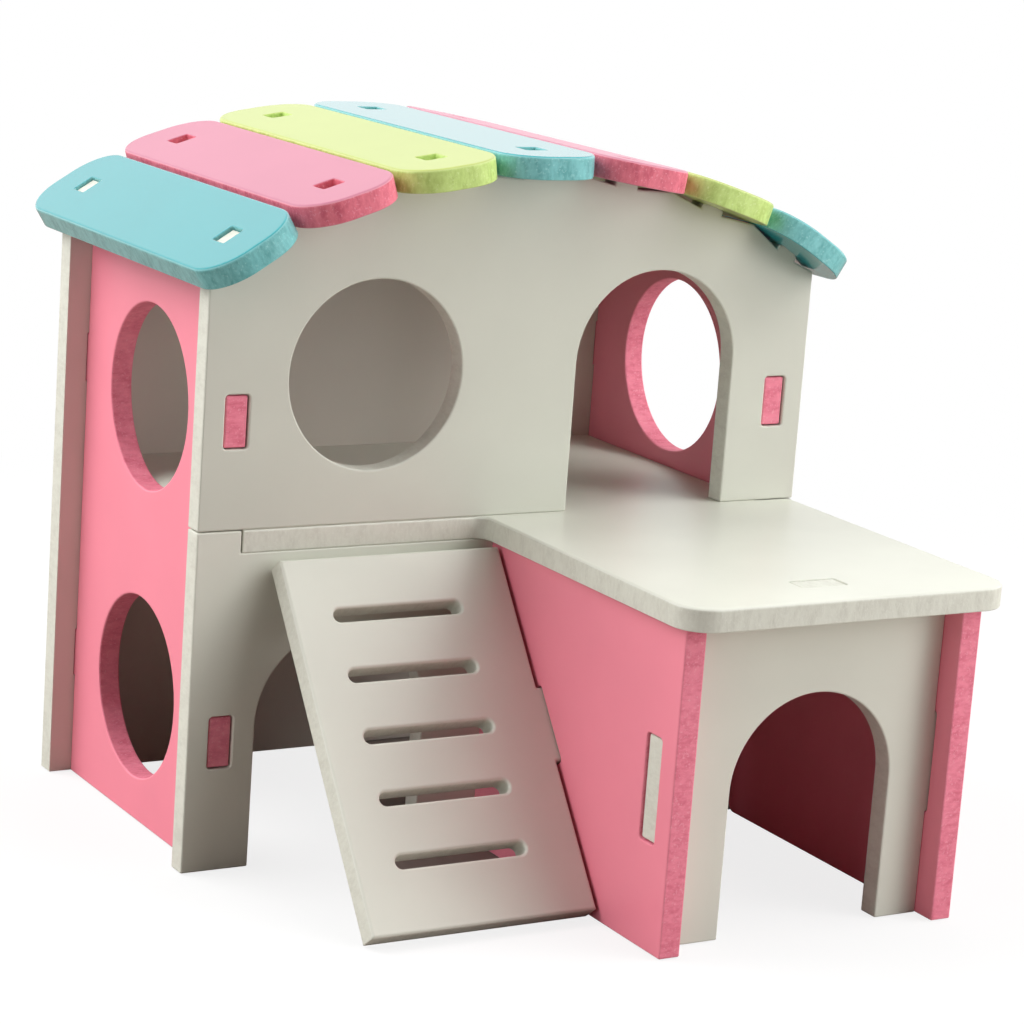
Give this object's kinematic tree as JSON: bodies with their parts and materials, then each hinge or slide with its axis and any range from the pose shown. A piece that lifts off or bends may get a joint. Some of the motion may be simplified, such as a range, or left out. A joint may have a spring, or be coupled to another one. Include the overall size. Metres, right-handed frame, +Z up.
{
  "type": "small animal play house",
  "caption": "Wooden play house for small pets: board walls with arches and round holes, slatted curved roof, sloped ladder ramp and a walled wing with a terrace on top.",
  "frame": {"origin": "on the ground, midway between the house's ends and midway between the terrace's front edge and the rear ends of the roof slats", "axes": "+X to the right seen from the front, +Y from the terrace to the back wall, +Z up"},
  "size_m": [0.1602, 0.1736, 0.1543],
  "materials": {
    "white_paint": "satin off-white paint over board",
    "pink_paint": "satin pink paint over board",
    "teal_paint": "satin teal paint over board",
    "lime_paint": "satin lime paint over board"
  },
  "bodies": {
    "house": {"front_wall_upper": "white_paint", "front_wall_lower": "white_paint", "back_wall": "white_paint", "floor_terrace": "white_paint", "wing_front_wall": "white_paint", "left_side_wall": "pink_paint", "right_side_wall": "pink_paint", "wing_left_wall": "pink_paint", "wing_right_wall": "pink_paint"},
    "ramp": {"ramp": "white_paint"},
    "roof_slat_1": {"roof_slat_1": "teal_paint"},
    "roof_slat_2": {"roof_slat_2": "pink_paint"},
    "roof_slat_3": {"roof_slat_3": "lime_paint"},
    "roof_slat_4": {"roof_slat_4": "teal_paint"},
    "roof_slat_5": {"roof_slat_5": "pink_paint"},
    "roof_slat_6": {"roof_slat_6": "lime_paint"},
    "roof_slat_7": {"roof_slat_7": "teal_paint"}
  },
  "joints": [
    {"name": "ramp_pull", "type": "slide", "parent": "house", "child": "ramp", "axis": [-1, 0, 0], "range_m": [0, 0.02]},
    {"name": "roof_slat_1_lift", "type": "slide", "parent": "house", "child": "roof_slat_1", "axis": [-0.5299, 0, 0.848], "range_m": [0, 0.02]},
    {"name": "roof_slat_2_lift", "type": "slide", "parent": "house", "child": "roof_slat_2", "axis": [-0.309, 0, 0.9511], "range_m": [0, 0.02]},
    {"name": "roof_slat_3_lift", "type": "slide", "parent": "house", "child": "roof_slat_3", "axis": [-0.1564, 0, 0.9877], "range_m": [0, 0.02]},
    {"name": "roof_slat_4_lift", "type": "slide", "parent": "house", "child": "roof_slat_4", "axis": [0, 0, 1], "range_m": [0, 0.02]},
    {"name": "roof_slat_5_lift", "type": "slide", "parent": "house", "child": "roof_slat_5", "axis": [0.1564, 0, 0.9877], "range_m": [0, 0.02]},
    {"name": "roof_slat_6_lift", "type": "slide", "parent": "house", "child": "roof_slat_6", "axis": [0.309, 0, 0.9511], "range_m": [0, 0.02]},
    {"name": "roof_slat_7_lift", "type": "slide", "parent": "house", "child": "roof_slat_7", "axis": [0.5299, 0, 0.848], "range_m": [0, 0.02]}
  ]
}
